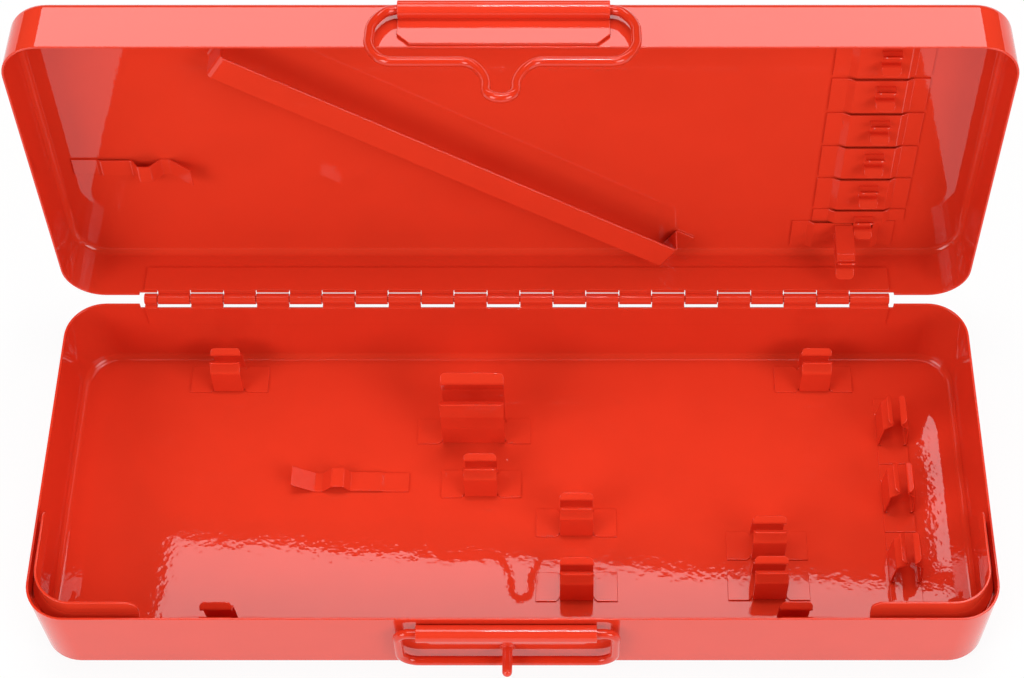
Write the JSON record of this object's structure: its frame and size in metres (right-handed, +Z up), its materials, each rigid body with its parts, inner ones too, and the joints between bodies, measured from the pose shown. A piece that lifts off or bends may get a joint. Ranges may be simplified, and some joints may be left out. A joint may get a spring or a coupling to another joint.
{
  "type": "tool case",
  "caption": "Pressed steel tool case: two shells on a long hinge, wire carrying handle, wire bail over a peg, spring clips for sockets and handles inside.",
  "frame": {"origin": "middle of the base's underside, midway between its side walls and between its front and back walls", "axes": "+X to the right seen from the front, +Y towards the hinge, +Z up"},
  "size_m": [0.4, 0.2092, 0.2191],
  "materials": {
    "enamel_on_sheet": "baked orange-red gloss enamel with a slight orange peel on pressed sheet steel",
    "enamel_on_springs": "the same baked enamel, thinner, over spring steel strip",
    "enamel_on_wire": "the same baked enamel on bent steel wire",
    "enamel_on_hinge": "the same baked enamel on rolled hinge leaves and their pin"
  },
  "bodies": {
    "base": {"base_pan": "enamel_on_sheet", "base_hinge_leaf": "enamel_on_hinge", "hinge_pin": "enamel_on_hinge", "guide_left": "enamel_on_sheet", "guide_right": "enamel_on_sheet", "handle_bracket": "enamel_on_sheet", "latch_peg": "enamel_on_wire", "clip_rear_left": "enamel_on_springs", "clip_rear_right": "enamel_on_springs", "clip_front_left": "enamel_on_springs", "clip_front_right": "enamel_on_springs", "clip_mid": "enamel_on_springs", "clip_centre_rear": "enamel_on_springs", "clip_centre_front": "enamel_on_springs", "clip_right_rear": "enamel_on_springs", "clip_right_front": "enamel_on_springs", "clip_side_1": "enamel_on_springs", "clip_side_2": "enamel_on_springs", "clip_side_3": "enamel_on_springs", "clip_wide": "enamel_on_springs", "spring_strip_base": "enamel_on_springs"},
    "lid": {"lid_pan": "enamel_on_sheet", "lid_hinge_leaf": "enamel_on_hinge", "bail_bracket": "enamel_on_sheet", "lid_strap": "enamel_on_sheet", "bit_clip_1": "enamel_on_springs", "bit_clip_2": "enamel_on_springs", "bit_clip_3": "enamel_on_springs", "bit_clip_4": "enamel_on_springs", "bit_clip_5": "enamel_on_springs", "bit_clip_6": "enamel_on_springs", "lid_clip_tall": "enamel_on_springs", "spring_strip_lid": "enamel_on_springs"},
    "lid_bail": {"lid_bail": "enamel_on_wire"},
    "carry_handle": {"carry_handle": "enamel_on_wire"}
  },
  "joints": [
    {"name": "lid_hinge", "type": "hinge", "parent": "base", "child": "lid", "pos_m": [0, 0.0792, 0.0442], "axis": [1, 0, 0], "range_deg": [0, 95]},
    {"name": "bail_swing", "type": "hinge", "parent": "lid", "child": "lid_bail", "pos_m": [-0.0025, 0.11007, 0.20201], "axis": [-1, 0, 0], "range_deg": [0, 180]},
    {"name": "handle_swing", "type": "hinge", "parent": "base", "child": "carry_handle", "pos_m": [-0.0025, -0.0807, 0.0384], "axis": [-1, 0, 0], "range_deg": [0, 150]}
  ]
}
